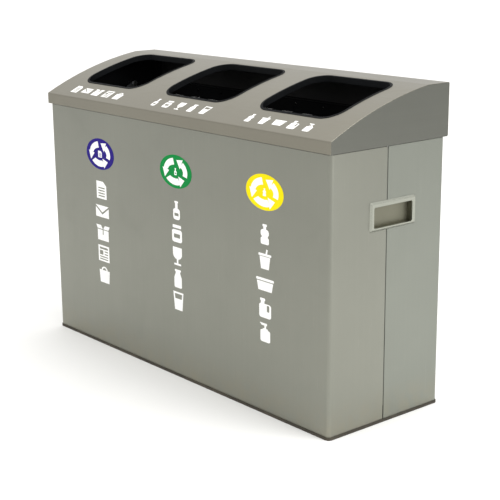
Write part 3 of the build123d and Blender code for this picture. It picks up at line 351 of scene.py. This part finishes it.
FRONT_TINT = colour(132, 133, 124)
REAR_TINT = colour(132, 135, 127)
LID_TINT = colour(127, 124, 113)
END_TINT = colour(103, 104, 98)
MILL_TINT = colour(140, 140, 133)
RIVET_TINT = colour(150, 150, 144)
MATERIALS = {
    "front": brushed_steel("front_steel", FRONT_TINT, Z_AXIS, core=BODY_CORE, dust=True, painted_reflection_fall=(1.11, 0.95)),
    "rear": brushed_steel("rear_steel", REAR_TINT, Z_AXIS, core=BODY_CORE, dust=True, painted_reflection_fall=(1.04, 0.97)),
    "lid": brushed_steel("lid_steel", LID_TINT, X_AXIS, core=LID_CORE),
    "lid_end": brushed_steel("lid_end_steel", END_TINT, Y_AXIS, core=LID_CORE),
    # The handle frames are given a lighter tint: partly their glossier satin finish, partly a painted
    # highlight on the raised frame.
    "handle": brushed_steel("handle_steel", colour(152, 154, 144), Y_AXIS, roughness=0.28),
    # Painted shade: the grip pockets are the same steel, given a darker tint for the shade in the recess.
    "pocket": brushed_steel("shaded_pocket_steel", colour(120, 119, 105), Y_AXIS, roughness=0.45),
    "mill": brushed_steel("mill_steel", MILL_TINT, X_AXIS, roughness=0.42),
    "lid_leaf": brushed_steel("lid_leaf_steel", MILL_TINT, X_AXIS, roughness=0.42, core=LID_CORE),
    "zinc": turned_steel("zinc_steel", colour(168, 170, 172), 0.38),
    "pin": turned_steel("pin_steel", colour(190, 191, 190), 0.25),
    "body_rivet": turned_steel("body_rivet_steel", RIVET_TINT, 0.3, core=BODY_CORE),
    "lid_rivet": turned_steel("lid_rivet_steel", RIVET_TINT, 0.3, core=LID_CORE),
    "wire": turned_steel("wire_steel", colour(178, 180, 180), 0.3),
    "inner_black": powder_coat("inner_coat", COAT_AND_PAINTED_SHADE_BLACK),
    "strip": powder_coat("strip_primer", colour(92, 94, 88)),
    "edge": black_moulding("edge_rubber", colour(58, 54, 46), 0.66, dust=0.9),
    "trim": black_moulding("trim_rubber", colour(9, 11, 13), 0.62, shine=0.1),
    "bucket": black_moulding("bucket_plastic", colour(15, 16, 18), 0.45, shine=0.2),
    "grip": black_moulding("grip_plastic", colour(24, 24, 25), 0.55),
    "mat": felted_mat("lid_mat", colour(11, 11, 11)),
    "blue": vinyl("vinyl_blue", colour(34, 18, 122)),
    "green": vinyl("vinyl_green", colour(0, 132, 60)),
    "yellow": vinyl("vinyl_yellow", colour(240, 222, 0)),
    "white": vinyl("vinyl_white", colour(248, 248, 246), roughness=0.4),
}


def give(material, *names):
    for name in names:
        slots = NODES[name].data.materials
        slots.clear()
        slots.append(MATERIALS[material])


def both(name):
    """The left and the right node of a pair."""
    return tuple(f"{name}_{side}" for side in SIDES)


give("front", "front_shell")
give("rear", "rear_shell")
give("lid", "lid_top_sheet")
give("lid_end", *both("lid_end"))
give("handle", *both("handle_frame"))
give("pocket", *both("handle_pocket"))
give("mill", "body_hinge_leaf")
give("lid_leaf", "lid_hinge_leaf")
give("zinc", *both("stay_arm"), *both("stay_guide"))
give("body_rivet", "body_hinge_rivets")
give("lid_rivet", "lid_hinge_rivets")
give("pin", "hinge_pin", "foot_screws", "stay_guide_rivets", "lid_stay_studs", *both("stay_pin"))
give("inner_black", "base_tray", "lid_front_stiffener", *both("divider"))
give("strip", *both("lower_seam_strip"), *both("upper_seam_strip"))
give("edge", "base_edge_strip", "feet", "lid_buffers")
give("mat", "lid_lining")
for stream, tint_name in zip(STREAMS, ("blue", "green", "yellow")):
    give("trim", f"{stream}_opening_trim")
    give("bucket", f"{stream}_bucket")
    give("wire", f"{stream}_bail")
    give("grip", f"{stream}_bail_grip")
    give(tint_name, f"{stream}_sticker")
    give("white", f"{stream}_sticker_arrows", f"{stream}_front_marks", f"{stream}_lid_marks")


# ---------------------------------------------------------------- rounded edges
SHEET_ROUNDING = 0.0004
RUBBER_ROUNDING = 0.0006
STRIP_ROUNDING = 0.0008
BUCKET_ROUNDING = 0.0010
WELD_DISTANCE = 2e-6
FLAT_ANGLE = math.radians(0.4)
EDGE_ANGLE = math.radians(35)


def soften(width, *names):
    """Rounds the sharp edges of CAD nodes by a small width in metres."""
    for name in names:
        modifiers = NODES[name].modifiers
        modifiers.new("weld", "WELD").merge_threshold = WELD_DISTANCE
        merge = modifiers.new("flat_faces", "DECIMATE")
        merge.decimate_type = "DISSOLVE"
        merge.angle_limit = FLAT_ANGLE
        bevel = modifiers.new("edges", "BEVEL")
        bevel.width = width
        bevel.segments = 2
        bevel.limit_method = "ANGLE"
        bevel.angle_limit = EDGE_ANGLE
        bevel.use_clamp_overlap = False
        modifiers.new("normals", "WEIGHTED_NORMAL").keep_sharp = True


soften(SHEET_ROUNDING, "lid_top_sheet", *both("lid_end"))
soften(STRIP_ROUNDING, "base_edge_strip")
soften(RUBBER_ROUNDING, *both("handle_frame"))
for stream in STREAMS:
    soften(RUBBER_ROUNDING, f"{stream}_opening_trim")
    soften(BUCKET_ROUNDING, f"{stream}_bucket")


# ---------------------------------------------------------------- floor, light and camera
# Places are in lengths of the object, from the floor under its middle.
OBJECT_LENGTH = CAD_HIGH.x - CAD_LOW.x
FLOOR_REACH = 55.0
FLOOR_TONES = (colour(238, 238, 237), colour(243, 243, 242))
WORLD_HORIZON = 0.85
WORLD_OVERHEAD = 1.6
WORLD_TINT = (1.0, 0.995, 0.985, 1.0)
KEY_PLACE = (3.364, 1.0, 2.091)
KEY_TARGET = (0.455, 0.0, 0.364)
KEY_SIZE = (2.0, 2.2)
KEY_POWER = 70.0
TOP_PLACE = (0.273, 0.727, 3.273)
TOP_TARGET = (0.0, 0.0, 0.455)
TOP_SIZE = (3.0, 2.0)
TOP_POWER = 20.0
TOP_TINT = (1.0, 0.97, 0.92)
CAMERA_AZIMUTH = math.radians(49.953)      # from the front towards the right
CAMERA_ELEVATION = math.radians(14.543)
CAMERA_ROLL = math.radians(-0.489)
CAMERA_DISTANCE = 2.7936
CAMERA_TARGET = (0.0430, 0.02318, 0.27145)
CAMERA_LENS = 88.0
CAMERA_SENSOR = 36.0


def place(shares):
    """A place given in lengths of the object, in metres."""
    return Vector(shares) * OBJECT_LENGTH


def floor():
    half = FLOOR_REACH * OBJECT_LENGTH
    mesh = bpy.data.meshes.new("floor")
    corners = [(-half, -half, 0), (half, -half, 0), (half, half, 0), (-half, half, 0)]
    mesh.from_pydata(corners, [], [(0, 1, 2, 3)])
    plane = bpy.data.objects.new("floor", mesh)
    bpy.context.scene.collection.objects.link(plane)
    shader = Shader("floor")
    cloud = shader.noise(1.5, detail=3.0)
    shader.set(Base_Color=shader.mix(cloud, *FLOOR_TONES), Roughness=0.9)
    mesh.materials.append(shader.material)


def area_light(name, at, target, size, power, tint=(1.0, 1.0, 1.0)):
    data = bpy.data.lights.new(name, "AREA")
    data.shape = "RECTANGLE"
    data.size, data.size_y = size
    data.energy = power
    data.color = tint
    lamp = bpy.data.objects.new(name, data)
    lamp.location = place(at)
    lamp.rotation_mode = "QUATERNION"
    lamp.rotation_quaternion = (place(target) - place(at)).to_track_quat("-Z", "Y")
    bpy.context.scene.collection.objects.link(lamp)


def world():
    """A white studio surround that grows brighter overhead."""
    world_data = bpy.data.worlds.new("studio")
    world_data.use_nodes = True
    tree = world_data.node_tree
    background = tree.nodes["Background"]
    coords = tree.nodes.new("ShaderNodeTexCoord")
    split = tree.nodes.new("ShaderNodeSeparateXYZ")
    rise = tree.nodes.new("ShaderNodeMapRange")
    rise.inputs["To Min"].default_value = WORLD_HORIZON
    rise.inputs["To Max"].default_value = WORLD_OVERHEAD
    tree.links.new(coords.outputs["Generated"], split.inputs[0])
    tree.links.new(split.outputs["Z"], rise.inputs["Value"])
    tree.links.new(rise.outputs[0], background.inputs["Strength"])
    background.inputs["Color"].default_value = WORLD_TINT
    bpy.context.scene.world = world_data


def camera():
    """Stands to the right of the front, a little above the lid, with a long lens."""
    data = bpy.data.cameras.new("camera")
    data.sensor_width = CAMERA_SENSOR
    data.lens = CAMERA_LENS
    lens_object = bpy.data.objects.new("camera", data)
    bpy.context.scene.collection.objects.link(lens_object)
    level = math.cos(CAMERA_ELEVATION)
    back = Vector((
        math.sin(CAMERA_AZIMUTH) * level,
        -math.cos(CAMERA_AZIMUTH) * level,
        math.sin(CAMERA_ELEVATION),
    ))
    lens_object.location = place(CAMERA_TARGET) + back * CAMERA_DISTANCE * OBJECT_LENGTH
    lens_object.rotation_mode = "QUATERNION"
    straight = (-back).to_track_quat("-Z", "Y")
    lens_object.rotation_quaternion = straight @ Matrix.Rotation(CAMERA_ROLL, 3, "Z").to_quaternion()
    bpy.context.scene.camera = lens_object


bpy.context.scene.view_settings.view_transform = "Standard"
floor()
world()
area_light("key", KEY_PLACE, KEY_TARGET, KEY_SIZE, KEY_POWER)
area_light("top", TOP_PLACE, TOP_TARGET, TOP_SIZE, TOP_POWER, TOP_TINT)
camera()
